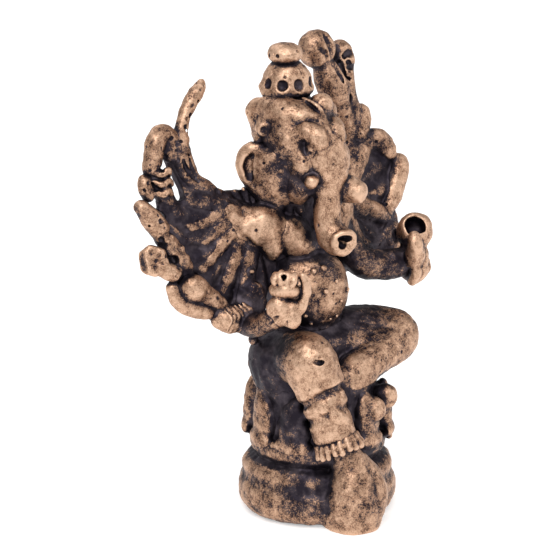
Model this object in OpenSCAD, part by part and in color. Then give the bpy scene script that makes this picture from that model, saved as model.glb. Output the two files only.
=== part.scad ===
// Small cast figure of an elephant-headed deity with fourteen arms, seated on a lotus
// pedestal with the right leg hanging down. The figure faces -Y, so its right is -X.
// The origin is the centre of the pedestal's flat underside. Millimetres.

/* [Pedestal] */
// Radius of the bottom drum at its fullest
drum_r = 8.2; // [8:0.1:8.5]
// Height of the bottom drum
drum_h = 5.7; // [5.5:0.1:5.9]
// Radius of the collar between the drum and the lotus seat
collar_r = 7.4; // [7.2:0.1:7.6]
// Height of the collar
collar_h = 2.2; // [2:0.1:2.4]
// Radius of the core of the lotus seat
seat_r = 6; // [5.8:0.1:6.2]
// Height of the core of the lotus seat
seat_h = 6.2; // [6:0.1:6.4]
// Number of petals around the lotus seat
petal_count = 9; // [6:1:9]

/* [Body] */
// Radius of the belly
belly_r = 4.7; // [4.5:0.1:4.9]
// Half the distance between the centres of the shoulders
shoulder_x = 5; // [4.8:0.1:5.2]
// Radius of the shoulders
shoulder_r = 2.5; // [2.4:0.05:2.6]
// Radius of the thighs at the hip
thigh_r = 2.4; // [2.2:0.1:2.5]

/* [Head] */
// Half the width of the skull
skull_w = 4.1; // [3.9:0.1:4.3]
// Radius of the crown at its fullest
crown_r = 2.9; // [2.8:0.1:3]
// Number of round pits around the crown
crown_pits = 10; // [6:1:12]
// Radius of one pit in the crown
pit_r = 0.42; // [0.3:0.02:0.5]
// Radius of the bore in the tip of the trunk
nostril_r = 0.5; // [0.4:0.05:0.6]

/* [Arms] */
// How far the fan of arms leans back, in degrees
fan_tilt = 15; // [13:1:17]
// How far each fan is swept back from the shoulder, in degrees
fan_sweep = 8; // [6:1:10]
// Distance from the shoulder to the hands on the fan
hand_reach = 11; // [10.8:0.1:11.2]
// Radius of the thin web between the arms
web_r = 10.2; // [9.8:0.1:10.4]
// Thickness of the web
web_t = 0.9; // [0.8:0.05:1]
// Radius of an arm at the elbow
elbow_r = 0.95; // [0.85:0.05:1]

/* [Hidden] */
$fn = 48;

// Names of the six arms on each fan, from the top one down, by what each hand holds
RIGHT_ITEMS = ["sprig", "club", "bud", "discus", "noose", "conch"];
LEFT_ITEMS = ["mace", "axe", "goad", "lotus", "rosary", "fruit"];

// Heights that follow from the pedestal
collar_z = drum_h;
seat_z = collar_z + collar_h;
seat_top = seat_z + seat_h;
hips_z = seat_top + 2.3;
belly_z = seat_top + 8.8;
chest_z = seat_top + 14.6;
shoulder_z = seat_top + 15.9;
face_z = seat_top + 23.6;
skull_z = seat_top + 26.2;
crown_z = seat_top + 28.5;

// The fan's own frame: its root is a little behind and above the shoulder
fan_root = [shoulder_x, 4.5, shoulder_z + 0.5];
// Angle of each arm on the fan: 0 points outwards, 90 points up
arm_angles = [38, 21, 4, -14, -36, -60];
// The arms lie on the front of the web
web_front = 0.15;
// A taper between two balls is a little slimmer than the balls
taper_fit = 0.94;
// Radius of a closed hand
hand_r = 1.05;

hip = [3, 1.2, hips_z + 0.6];
right_hip = [-3.2, 1.4, hips_z + 0.9];
right_knee = [-5, -4.4, seat_top + 3.8];
right_ankle = [-3.3, -6.6, seat_z + 1.4];
right_toe = [-2, -8.5, 3.6];
left_knee = [10.3, -2, seat_top + 2.4];
// Bearing of the hanging leg, where the seat has no petal
leg_angle = 360 + atan2(right_ankle[1], right_ankle[0]);
left_ankle = [1.4, -3.9, seat_top + 0.3];
left_toe = [-1.4, -3.9, seat_top + 0.5];
shoulder = [shoulder_x, 3.9, shoulder_z];
blessing_elbow = [-8.2, 1.6, shoulder_z - 9.5];
blessing_wrist = [-7.3, -1.9, shoulder_z - 7.5];
offering_elbow = [7, 1.2, shoulder_z - 6.3];
offering_wrist = [12, -0.2, shoulder_z - 5.6];

BRONZE = [0.72, 0.53, 0.38];
DARK = [0.3, 0.24, 0.25];

// ---- Basic forms ----

// An ellipsoid with half-axes r about the point p
module blob(p, r) {
    translate(p) scale(r) sphere(1);
}

// A straight taper from point a to point b
module taper(a, b, ra, rb) {
    along = b - a;
    length = norm(along);
    translate(a)
        rotate([0, acos(along[2] / length), atan2(along[1], along[0])])
            cylinder(h = length, r1 = ra, r2 = rb);
}

// A limb: a ball at each point, joined by tapers
module limb(points, radii) {
    for (i = [0 : len(points) - 1])
        translate(points[i]) sphere(radii[i]);
    for (i = [0 : len(points) - 2])
        taper(points[i], points[i + 1], taper_fit * radii[i], taper_fit * radii[i + 1]);
}

// The same point on the figure's other side
function mirrored(p) = [-p[0], p[1], p[2]];

// A point of the fan's frame by angle and distance from its root, lifted off the web
function on_fan(angle, reach, lift = 0) = [reach * cos(angle), -lift, reach * sin(angle)];

// Puts children, drawn in the fan's frame, on the left side
module fan() {
    translate(fan_root) rotate([-fan_tilt, 0, fan_sweep]) children();
}

// Puts children, drawn for the left side, on the right side
module on_right() mirror([1, 0, 0]) children();

// ---- Pedestal ----

// A round tier with bulging sides, standing on z = 0
module bulged_tier(r, h, bulge) {
    edge = [for (a = [-72 : 24 : 72]) [r - bulge + bulge * cos(a), h / 2 * (1 + sin(a) / sin(72))]];
    rotate_extrude($fn = 96) polygon(concat([[0, 0]], edge, [[0, h]]));
}

module drum_form() bulged_tier(drum_r, drum_h, 1.1);
module collar_form() translate([0, 0, collar_z]) bulged_tier(collar_r, collar_h, 0.9);
module foot_lotus_form() translate([right_toe[0], right_toe[1] + 0.1, 0]) bulged_tier(2.9, 2.2, 0.7);

module pedestal_drum() color(BRONZE) drum_form();

module pedestal_collar() color(BRONZE) collar_form();

module seat_form() translate([0, 0, seat_z]) cylinder(h = seat_h, r = seat_r, $fn = 96);

module lotus_seat() color(DARK) seat_form();

module lotus_petals() color(BRONZE) difference() {
    for (i = [0 : petal_count - 1])
        let (angle = (i + 0.1) * 360 / petal_count)
            if (abs(angle - leg_angle) > 180 / petal_count) rotate([0, 0, angle])
                blob([seat_r + 0.2, 0, seat_z + seat_h / 2], [1.4, 2, seat_h / 2 - 0.1]);
    seat_form();
    right_shin_form();
    anklet_form();
    left_shin_form();
}

module foot_lotus() color(BRONZE) difference() {
    foot_lotus_form();
    drum_form();
}

// ---- Legs ----

module right_thigh_form() limb([right_hip, right_knee], [thigh_r - 0.1, thigh_r - 0.1]);
module right_shin_form() limb([right_knee, right_ankle], [thigh_r - 0.3, 1.9]);
module left_thigh_form() limb([hip, left_knee], [thigh_r, 2.2]);
module left_shin_form() limb([left_knee + [-0.5, -0.2, -0.2], left_ankle], [1.95, 1.5]);

module anklet_form() difference() {
    translate(right_ankle + [0, 0, -0.5]) bulged_tier(2.5, 1.2, 0.6);
    right_shin_form();
}

module right_thigh() color(BRONZE) difference() {
    right_thigh_form();
    hips_form();
    belly_form();
}

module right_shin() color(BRONZE) difference() {
    right_shin_form();
    right_thigh_form();
    seat_form();
    collar_form();
}

module right_anklet() color(BRONZE) difference() {
    anklet_form();
    seat_form();
    collar_form();
}

module right_foot() color(BRONZE) difference() {
    limb([right_ankle + [0, -0.2, -1.4], right_toe], [1.7, 2.3]);
    anklet_form();
    right_shin_form();
    foot_lotus_form();
    drum_form();
    collar_form();
}

module left_thigh() color(BRONZE) difference() {
    left_thigh_form();
    hips_form();
    belly_form();
    left_shin_form();
}

module left_shin() color(BRONZE) difference() {
    left_shin_form();
    seat_form();
    hips_form();
    right_thigh_form();
}

module left_foot() color(BRONZE) difference() {
    limb([left_ankle, left_toe], [1.25, 1.15]);
    left_shin_form();
    seat_form();
    hips_form();
    right_thigh_form();
    right_shin_form();
}

// ---- Body ----

module hips_form() blob([0, 2.2, hips_z], [6, 4.8, 3.2]);

module belly_form() translate([0, 1.9, belly_z]) sphere(belly_r);
module chest_form() blob([0, 4.2, chest_z], [5.2, 3.1, 3.9]);
module shoulder_form() translate(shoulder) sphere(shoulder_r);

module hips() color(DARK) difference() {
    hips_form();
    translate([0, 0, seat_top - 10]) cube([40, 40, 20], center = true);
}

module belly() color(BRONZE) difference() {
    belly_form();
    hips_form();
}

module chest() color(DARK) difference() {
    chest_form();
    belly_form();
    shoulder_form();
    on_right() shoulder_form();
}

module neck_form() translate([0, 4, chest_z + 2]) cylinder(h = skull_z - chest_z - 4, r = 2.7);

module neck() color(DARK) difference() {
    neck_form();
    chest_form();
    head_form();
}

module right_shoulder() color(BRONZE) on_right() left_shoulder();

module left_shoulder() color(BRONZE) shoulder_form();

// ---- Head ----

module head_form() {
    blob([0, 4.3, skull_z], [skull_w, 4.9, 4.2]);
    blob([0, 0.7, face_z], [3.4, 3.3, 3.5]);
    for (side = [-1, 1]) translate([side * 1.9, 1.9, skull_z + 1.5]) sphere(2.2);
}

module head() color(BRONZE) head_form();

module trunk_form() {
    root = [0, -1.7, face_z - 0.8];
    limb(
        [root, root + [0, -0.2, -2.2], root + [0.1, 0.2, -4.2], root + [0.2, -0.1, -6.4],
            root + [0.6, -1, -7.6], root + [1.2, -1.9, -7.8]],
        [2.3, 1.8, 1.4, 1.3, 1.35, 1.3]
    );
}

module trunk() color(BRONZE) difference() {
    trunk_form();
    head_form();
    translate([0.2, -1.8, face_z - 8.5]) rotate([90, 0, 30]) cylinder(h = 6, r = nostril_r);
}

module broken_right_tusk() color(BRONZE) difference() {
    translate([-2.3, -1.7, face_z - 2.6]) sphere(0.75);
    head_form();
    trunk_form();
}

module left_tusk() color(BRONZE) difference() {
    limb([[1.3, -0.8, face_z - 3.2], [2.5, -3.5, face_z - 3.9]], [0.9, 0.98]);
    head_form();
    trunk_form();
}

module ear_form() difference() {
    translate([4.4, 3.6, face_z - 2.2]) rotate([0, 12, -35]) scale([0.75, 2.9, 3.6]) sphere(1);
    head_form();
    neck_form();
}

module left_ear() color(BRONZE) difference() {
    ear_form();
    shoulder_form();
    chest_form();
}

module right_ear() color(BRONZE) on_right() left_ear();

module left_ear_flower() color(BRONZE) difference() {
    translate([3.2, 3.6, skull_z + 0.3]) rotate([0, 90, 0]) cylinder(h = 1.7, r = 1.2);
    translate([3, 3.6, skull_z + 0.3]) rotate([0, 90, 0]) cylinder(h = 3, r = 0.4);
    head_form();
    ear_form();
}

module right_ear_flower() color(BRONZE) on_right() left_ear_flower();

module crown() color(BRONZE) translate([0, 4.8, crown_z]) difference() {
    rotate_extrude() polygon([
        [0, 0], [crown_r - 0.5, 0], [crown_r - 0.4, 0.7], [crown_r, 1.2], [crown_r, 2],
        [crown_r - 0.4, 2.7], [crown_r - 1.1, 3.3], [0, 3.3]
    ]);
    for (i = [0 : crown_pits - 1])
        rotate([0, 0, i * 360 / crown_pits])
            translate([crown_r - 0.6, 0, 1.6]) rotate([0, 90, 0]) cylinder(h = 2, r = pit_r);
    translate([0, -4.8, -crown_z]) head_form();
}

module crown_finial() color(BRONZE) difference() {
    blob([0, 5, crown_z + 4.4], [1.7, 1.7, 1.25]);
    translate([0, 0, crown_z - 6.7]) cube([20, 20, 20], center = true);
}

// ---- Fans of arms ----

module web_form() translate([0, web_t - web_front, 0]) rotate([90, 0, 0])
    linear_extrude(web_t) intersection() {
        circle(web_r, $fn = 96);
        polygon([[-3, 2.6], [3, 4.6], [12, 9.4], [20, 0], [14, -16], [1, -14], [-2.6, -5]]);
    }

module body_cut() {
    chest_form();
    belly_form();
    shoulder_form();
    hips_form();
}

module left_web() color(DARK) difference() {
    fan() web_form();
    body_cut();
    neck_form();
    head_form();
    ear_form();
}

module right_web() color(DARK) on_right() left_web();

// Where the elbow and the hand of an arm are in the fan's frame: the top arm bends upwards
function elbow_of(i) = on_fan(arm_angles[i], i == 0 ? 9.4 : 7, 0.3);
function hand_of(i) = i == 0
    ? [hand_reach - 4, -0.6, hand_reach - 1.6]
    : on_fan(arm_angles[i] + 3, i == 5 ? hand_reach - 1.2 : hand_reach, 0.4);

module arm_form(i) {
    start = on_fan(arm_angles[i], 2.2, 0.2);
    elbow = elbow_of(i);
    hand = hand_of(i);
    taper(start, elbow, 0.28, elbow_r * taper_fit);
    translate(elbow) sphere(elbow_r);
    taper(elbow, hand, elbow_r * 0.9, 0.7);
    translate(hand) sphere(hand_r);
}

module fan_arm(i) color(BRONZE) difference() {
    fan() arm_form(i);
    fan() web_form();
    body_cut();
}

// A thing held in hand i, cut back to its own arm, the arm above and the web
module held(i) difference() {
    fan() children();
    fan() arm_form(i);
    if (i > 0) fan() arm_form(i - 1);
    fan() web_form();
}

// ---- What the right hands hold ----

module sprig() color(BRONZE) on_right() held(0) union() {
    bend = hand_of(0) + [-1.9, 0, 2.7];
    tip = hand_of(0) + [-4.1, 0.2, 5.1];
    taper(hand_of(0), bend, 0.85, 0.7);
    translate(bend) sphere(0.76);
    taper(bend, tip, 0.7, 0.45);
    translate(tip) sphere(0.52);
}

module club() color(BRONZE) on_right() held(1)
    limb([hand_of(1) + [0.7, 0, 0.2], hand_of(1) + [0.2, 0, 2.8], hand_of(1) + [-1.2, 0, 5]],
        [1, 1.15, 1.3]);

module bud() color(BRONZE) on_right() held(2)
    blob(hand_of(2) + [1.3, 0, 1.3], [1.2, 1.1, 1.5]);

module discus() color(BRONZE) on_right() held(3)
    translate(hand_of(3) + [1.1, 0, -0.4]) difference() {
        rotate([90, 0, 0]) cylinder(h = 1.3, r = 1.55, center = true);
        cube([0.4, 3, 1.2], center = true);
    }

module noose() color(BRONZE) on_right() held(4)
    translate(hand_of(4) + [-0.7, 0, 0.4]) rotate([90, 0, 0])
        rotate([0, 0, -115]) rotate_extrude(angle = 150) translate([2.2, 0]) circle(0.85);

module conch() color(BRONZE) on_right() held(5)
    blob(hand_of(5) + [0.3, 0, -1.4], [1.9, 1.3, 1.4]);

// ---- What the left hands hold ----

module mace_form()
    limb([hand_of(0), hand_of(0) + [-2.2, 0, 3], hand_of(0) + [-3.7, 0.3, 6.3]], [0.8, 0.9, 1.9]);

module mace() color(BRONZE) held(0) mace_form();

module axe() color(BRONZE) held(1) difference() {
    union() {
        taper(hand_of(1), hand_of(1) + [-2.9, 0, 9.2], 0.6, 0.7);
        translate(hand_of(1) + [-2.7, 0, 7.8]) rotate([0, -17, 0]) difference() {
            cube([2.6, 1.4, 4], center = true);
            for (dz = [-1, 0, 1]) translate([1.2, 0, dz]) cube([0.9, 3, 0.45], center = true);
        }
    }
    mace_form();
}

module goad() color(BRONZE) held(2)
    limb([hand_of(2), hand_of(2) + [1, 0, 1.9], hand_of(2) + [0.2, 0, 3]], [0.75, 0.8, 0.6]);

module lotus() color(BRONZE) held(3)
    blob(hand_of(3) + [1.3, 0, 0.5], [1.4, 1.2, 1.3]);

module rosary() color(BRONZE) held(4)
    translate(hand_of(4) + [1, 0, -1.6]) rotate([90, 0, 0])
        rotate_extrude() translate([1.3, 0]) circle(0.5);

module fruit() color(BRONZE) held(5)
    translate(hand_of(5) + [0.2, 0, -1.5]) sphere(1.4);

// ---- Front arms ----

module blessing_arm_form()
    limb([mirrored(shoulder) + [-0.3, -0.6, -1.4], blessing_elbow, blessing_wrist], [1.3, 1.25, 1]);

module blessing_arm() color(BRONZE) difference() {
    blessing_arm_form();
    on_right() body_cut();
    on_right() fan() web_form();
    on_right() fan() arm_form(5);
    conch();
    right_thigh_form();
}

module blessing_hand() color(BRONZE) difference() {
    palm = blessing_wrist + [0.3, -1.6, 1.5];
    union() {
        blob(palm, [1.8, 1.3, 2]);
        for (i = [0 : 3])
            taper(palm + [-1.2 + 0.75 * i, 0.1, 1.3], palm + [-1.1 + 0.75 * i, -1, 2.9], 0.55, 0.48);
        taper(palm + [1.2, -0.3, -0.6], palm + [2.1, -1, 1.6], 0.6, 0.5);
    }
    blessing_arm_form();
    belly_form();
}

module offering_arm_form()
    limb([shoulder + [0.2, -0.6, -1.4], offering_elbow, offering_wrist], [1.3, 1.3, 0.95]);

module offering_arm() color(DARK) difference() {
    offering_arm_form();
    body_cut();
    fan() web_form();
    fan() arm_form(5);
}

module offering_hand() color(BRONZE) difference() {
    palm = offering_wrist + [1.3, -0.5, 0.2];
    union() {
        blob(palm, [1.6, 1.5, 1.9]);
        translate(palm + [0, -0.4, 2.2]) sphere(1.7);
        taper(palm + [0.4, -1, -0.4], palm + [0.3, -1.3, 2], 0.7, 0.8);
    }
    offering_arm_form();
    translate(palm + [0, -0.4, 2.9]) cylinder(h = 3, r = 1);
}

// ---- Which node is drawn ----

pedestal_drum();
pedestal_collar();
lotus_seat();
lotus_petals();
foot_lotus();
hips();
belly();
chest();
neck();
right_shoulder();
left_shoulder();
head();
trunk();
broken_right_tusk();
left_tusk();
right_ear();
left_ear();
right_ear_flower();
left_ear_flower();
crown();
crown_finial();
right_thigh();
right_shin();
right_anklet();
right_foot();
left_thigh();
left_shin();
left_foot();
right_web();
left_web();
for (i = [0 : 5]) {
    on_right() fan_arm(i);
    fan_arm(i);
}
sprig();
club();
bud();
discus();
noose();
conch();
mace();
axe();
goad();
lotus();
rosary();
fruit();
blessing_arm();
blessing_hand();
offering_arm();
offering_hand();
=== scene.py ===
import math

import bpy
import numpy as np
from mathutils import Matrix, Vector


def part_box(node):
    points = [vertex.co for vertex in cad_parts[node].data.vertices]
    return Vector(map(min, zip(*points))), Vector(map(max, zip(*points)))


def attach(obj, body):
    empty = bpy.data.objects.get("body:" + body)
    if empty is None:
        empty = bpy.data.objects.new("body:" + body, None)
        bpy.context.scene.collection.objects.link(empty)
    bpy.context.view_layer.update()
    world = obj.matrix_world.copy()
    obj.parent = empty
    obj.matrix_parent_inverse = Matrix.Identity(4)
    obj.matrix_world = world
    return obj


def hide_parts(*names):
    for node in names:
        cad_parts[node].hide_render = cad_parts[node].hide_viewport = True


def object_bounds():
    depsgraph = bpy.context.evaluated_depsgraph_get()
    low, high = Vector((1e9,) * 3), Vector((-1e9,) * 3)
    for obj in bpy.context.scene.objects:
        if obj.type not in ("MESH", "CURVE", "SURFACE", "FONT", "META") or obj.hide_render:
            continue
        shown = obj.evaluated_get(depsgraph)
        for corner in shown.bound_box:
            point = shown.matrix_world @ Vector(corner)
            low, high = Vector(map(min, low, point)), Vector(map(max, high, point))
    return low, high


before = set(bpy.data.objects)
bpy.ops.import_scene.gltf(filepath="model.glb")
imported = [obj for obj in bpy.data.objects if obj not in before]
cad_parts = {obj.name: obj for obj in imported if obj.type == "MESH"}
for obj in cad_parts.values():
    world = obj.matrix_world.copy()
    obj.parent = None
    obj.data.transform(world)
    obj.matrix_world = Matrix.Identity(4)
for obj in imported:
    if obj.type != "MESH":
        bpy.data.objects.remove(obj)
cad_lo, cad_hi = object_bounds()

MM = 0.001
# Spacing of the wax grid, the value of its empty cells, and how far round a stamp it is filled in
STEP = 0.1
FAR = 2.0
MARGIN = 0.45
RNG = np.random.default_rng(7)


# ---- Places taken from the frame ----

def corners(node):
    lo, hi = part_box(node)
    return np.array(lo) / MM, np.array(hi) / MM


def mid(node):
    lo, hi = corners(node)
    return (lo + hi) / 2


def vec(*xyz):
    return np.array(xyz, float)


def place(node, x=0.0, y=0.0, z=0.0):
    """The point at an offset from the middle of a node's box, which is taken to 0.01 mm."""
    return np.round(mid(node), 2) + vec(x, y, z)


def unit(v):
    v = np.asarray(v, float)
    return v / np.linalg.norm(v)


def turn_x(deg):
    a = math.radians(deg)
    return np.array([[1, 0, 0], [0, math.cos(a), -math.sin(a)], [0, math.sin(a), math.cos(a)]])


def turn_z(deg):
    a = math.radians(deg)
    return np.array([[math.cos(a), -math.sin(a), 0], [math.sin(a), math.cos(a), 0], [0, 0, 1]])


def turn_y(deg):
    a = math.radians(deg)
    return np.array([[math.cos(a), 0, math.sin(a)], [0, 1, 0], [-math.sin(a), 0, math.cos(a)]])


def facing(direction):
    """Axes whose second axis points along direction."""
    v = unit(direction)
    u = unit(np.cross(v, [0, 0, 1] if abs(v[2]) < 0.9 else [1, 0, 0]))
    return np.array([u, v, np.cross(u, v)])


UPRIGHT = np.eye(3)


class Fan:
    """The leaning plane of one fan of arms: outward, upward and forward of the shoulder."""

    def __init__(self, side):
        turn = turn_z(8) @ turn_x(-15)
        flip = np.diag([side, 1, 1])
        self.root = flip @ (mid("left_shoulder") + vec(0, 0.6, 0.5))
        self.axes = (flip @ turn).T

    def __call__(self, out, up, forward=0.0):
        return self.root + vec(out, -forward, up) @ self.axes


# ---- Soft volumes: each is a distance function and the box that holds it ----

def cone(a, b, ra, rb):
    a, b = np.asarray(a, float), np.asarray(b, float)
    ab = b - a
    length2 = float(ab @ ab)
    r = max(ra, rb)

    def distance(x, y, z):
        px, py, pz = x - a[0], y - a[1], z - a[2]
        t = np.clip((px * ab[0] + py * ab[1] + pz * ab[2]) / length2, 0, 1)
        gap = np.sqrt((px - t * ab[0]) ** 2 + (py - t * ab[1]) ** 2 + (pz - t * ab[2]) ** 2)
        return gap - (ra + (rb - ra) * t)

    return distance, np.minimum(a, b) - r, np.maximum(a, b) + r


def ball(c, r):
    c = np.asarray(c, float)

    def distance(x, y, z):
        return np.sqrt((x - c[0]) ** 2 + (y - c[1]) ** 2 + (z - c[2]) ** 2) - r

    return distance, c - r, c + r


def local(c, axes, x, y, z):
    """Coordinates along axes, from the point c."""
    px, py, pz = x - c[0], y - c[1], z - c[2]
    return [px * a[0] + py * a[1] + pz * a[2] for a in axes]


def held_by(c, axes, half):
    """The upright box round a turned box with its middle at c."""
    reach = np.abs(np.asarray(axes) * np.asarray(half, float)[:, None]).sum(0)
    return c - reach, c + reach


def egg(c, r, axes=UPRIGHT):
    c, r = np.asarray(c, float), np.asarray(r, float)

    def distance(x, y, z):
        u, v, w = local(c, axes, x, y, z)
        k0 = np.sqrt((u / r[0]) ** 2 + (v / r[1]) ** 2 + (w / r[2]) ** 2)
        k1 = np.sqrt((u / r[0] ** 2) ** 2 + (v / r[1] ** 2) ** 2 + (w / r[2] ** 2) ** 2)
        return k0 * (k0 - 1) / np.maximum(k1, 1e-6)

    return (distance, *held_by(c, axes, r))


def brick(c, half, soft, axes=UPRIGHT):
    c, half = np.asarray(c, float), np.asarray(half, float)

    def distance(x, y, z):
        q = [np.abs(p) - (h - soft) for p, h in zip(local(c, axes, x, y, z), half)]
        outside = np.sqrt(sum(np.maximum(p, 0) ** 2 for p in q))
        return outside + np.minimum(np.maximum(np.maximum(q[0], q[1]), q[2]), 0) - soft

    return (distance, *held_by(c, axes, half))


def disc(c, r, half_h, soft, axes=UPRIGHT):
    """A round slab with softened edges, its axis along the second of axes."""
    c = np.asarray(c, float)

    def distance(x, y, z):
        u, v, w = local(c, axes, x, y, z)
        side = np.sqrt(u * u + w * w) - (r - soft)
        top = np.abs(v) - (half_h - soft)
        outside = np.sqrt(np.maximum(side, 0) ** 2 + np.maximum(top, 0) ** 2)
        return outside + np.minimum(np.maximum(side, top), 0) - soft

    return (distance, *held_by(c, axes, (r, half_h, r)))


def ring(c, big, small, axes=UPRIGHT):
    """A torus round the second of axes."""
    c = np.asarray(c, float)

    def distance(x, y, z):
        u, v, w = local(c, axes, x, y, z)
        return np.sqrt((np.sqrt(u * u + w * w) - big) ** 2 + v * v) - small

    return (distance, *held_by(c, axes, (big + small, small, big + small)))


LEVEL = np.array([[1.0, 0, 0], [0, 0, 1], [0, 1, 0]])


def tier(c, r, half_h, soft):
    """A disc lying flat."""
    return disc(c, r, half_h, soft, LEVEL)


def slab(fan, outline, thick):
    """A rippled plate in the plane of a fan, bounded by an outline of (out, up) points."""
    pts = np.asarray(outline, float)
    world = np.array([fan(u, w) for u, w in pts])

    def distance(x, y, z):
        u, v, w = local(fan.root, fan.axes, x, y, z)
        gap = np.full(np.broadcast(u, v).shape, 1e9)
        inside = np.zeros(gap.shape, bool)
        for p, q in zip(pts, np.roll(pts, -1, 0)):
            e = q - p
            t = np.clip(((u - p[0]) * e[0] + (w - p[1]) * e[1]) / (e @ e), 0, 1)
            gap = np.minimum(gap, (u - p[0] - t * e[0]) ** 2 + (w - p[1] - t * e[1]) ** 2)
            crosses = (p[1] > w) != (q[1] > w)
            reach = p[0] + (w - p[1]) * e[0] / (e[1] if e[1] else 1e-9)
            inside ^= crosses & (u < reach)
        edge = np.sqrt(gap) * np.where(inside, -1, 1)
        ripple = 0.2 * np.sin(21 * np.arctan2(w, u)) * np.clip(np.sqrt(u * u + w * w) / 6, 0, 1)
        face = np.abs(v - ripple) - thick / 2
        soft = thick * 0.4
        q0, q1 = np.maximum(edge + soft, 0), np.maximum(face + soft, 0)
        return np.sqrt(q0 * q0 + q1 * q1) + np.minimum(np.maximum(edge, face) + soft, 0) - soft

    return distance, world.min(0) - thick, world.max(0) + thick


def slot_hole(fan, a, b, r, deep=1.6):
    """A slit right through a fan, from a to b in its plane."""
    a, b = np.asarray(a, float), np.asarray(b, float)
    e = b - a
    ends = np.array([fan(*a), fan(*b)])

    def distance(x, y, z):
        u, v, w = local(fan.root, fan.axes, x, y, z)
        t = np.clip(((u - a[0]) * e[0] + (w - a[1]) * e[1]) / (e @ e), 0, 1)
        flat = np.sqrt((u - a[0] - t * e[0]) ** 2 + (w - a[1] - t * e[1]) ** 2) - r
        return np.maximum(flat, np.abs(v) - deep)

    return distance, ends.min(0) - r - deep, ends.max(0) + r + deep


def curve(points, radii, per=5):
    """Points and radii along a smooth curve through the given points."""
    pts = np.asarray(points, float)
    rad = np.asarray(radii, float)
    ext = np.vstack([2 * pts[0] - pts[1], pts, 2 * pts[-1] - pts[-2]])
    out, rr = [], []
    for i in range(len(pts) - 1):
        p0, p1, p2, p3 = ext[i:i + 4]
        for s in np.arange(per) / per:
            out.append(0.5 * (2 * p1 + (p2 - p0) * s + (2 * p0 - 5 * p1 + 4 * p2 - p3) * s * s
                              + (3 * p1 - p0 - 3 * p2 + p3) * s ** 3))
            rr.append(rad[i] + (rad[i + 1] - rad[i]) * s)
    return np.array(out + [pts[-1]]), np.array(rr + [rad[-1]])


# ---- The wax: one grid for the whole figure, and a label for every member ----

class Wax:
    """A grid of distances to the surface, below zero inside the wax."""

    def __init__(self, lo, hi):
        self.lo = np.asarray(lo, float) - 3 * STEP
        self.shape = tuple(np.ceil((hi - lo) / STEP).astype(int) + 7)
        self.field = np.full(self.shape, FAR, np.float32)
        self.nearest = np.full(self.shape, FAR, np.float32)
        self.parts = {}
        self.name = None
        self.middle = None

    def start(self, name):
        """Begin a member: what is added next belongs to it."""
        self.name = name
        self.middle = place(name)

    def at(self, x, y, z):
        """The point at an offset from the middle of the member's box in the frame."""
        return self.middle + vec(x, y, z)

    def window(self, lo, hi, margin):
        start = np.floor((np.asarray(lo) - margin - self.lo) / STEP).astype(int)
        stop = np.ceil((np.asarray(hi) + margin - self.lo) / STEP).astype(int) + 1
        start = np.clip(start, 0, self.shape)
        stop = np.clip(stop, 0, self.shape)
        axes = []
        for i in range(3):
            axis = (self.lo[i] + STEP * np.arange(start[i], stop[i])).astype(np.float32)
            axes.append(axis.reshape([-1 if j == i else 1 for j in range(3)]))
        return tuple(slice(a, b) for a, b in zip(start, stop)), axes

    def add(self, shape, blend=0.3):
        distance, lo, hi = shape
        where, axes = self.window(lo, hi, MARGIN + blend)
        d = distance(*axes).astype(np.float32)
        f = self.field[where]
        h = np.maximum(blend - np.abs(f - d), 0) / max(blend, 1e-6)
        self.field[where] = np.minimum(f, d) - h * h * blend / 4
        self.nearest[where] = np.minimum(self.nearest[where], d)
        self.parts.setdefault(self.name, []).append((where, d))

    def carve(self, shape, blend=0.12):
        distance, lo, hi = shape
        where, axes = self.window(lo, hi, MARGIN)
        d = -distance(*axes).astype(np.float32)
        f = self.field[where]
        h = np.maximum(blend - np.abs(f - d), 0) / max(blend, 1e-6)
        self.field[where] = np.maximum(f, d) + h * h * blend / 4

    def limb(self, points, radii, blend=0.3, per=4):
        pts, rad = curve(points, radii, per)
        for a, b, ra, rb in zip(pts[:-1], pts[1:], rad[:-1], rad[1:]):
            self.add(cone(a, b, ra, rb), blend)

    def groove(self, points, radii, blend=0.15, per=4):
        pts, rad = curve(points, radii, per)
        for a, b, ra, rb in zip(pts[:-1], pts[1:], rad[:-1], rad[1:]):
            self.carve(cone(a, b, ra, rb), blend)


wax = Wax(np.array(cad_lo) / MM, np.array(cad_hi) / MM)
at = wax.at
RIGHT, LEFT = Fan(-1), Fan(1)


def bumps(points, r, blend=0.1):
    for p in points:
        wax.add(ball(p, r), blend)


def speckle(centres, reach, count, size):
    """Pits scattered round the given places, as where the metal didn't fill the mould."""
    for centre in centres:
        for _ in range(count):
            wax.carve(ball(centre + reach * RNG.uniform(-1, 1, 3), RNG.uniform(0.4, 1) * size), 0.1)


# ---- Pedestal ----

def model_pedestal():
    wax.start("pedestal_drum")
    wax.add(tier(at(0, 0, -0.75), 8.15, 2.15, 1.8), 0.1)
    wax.add(tier(at(0, 0, 1.35), 7.75, 1.65, 1.4), 0.5)
    wax.carve(ring(at(0, 0, 1.1), 8.35, 0.4, LEVEL), 0.7)
    wax.start("pedestal_collar")
    wax.add(tier(at(0, 0, -0.7), 6.3, 1.1, 0.5), 0.7)
    wax.add(tier(at(0, 0, 0.4), 7.0, 0.95, 0.85), 0.5)
    wax.start("lotus_seat")
    wax.add(tier(at(0, 0, -0.4), 5.9, 3.5, 1.2), 0.8)


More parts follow.
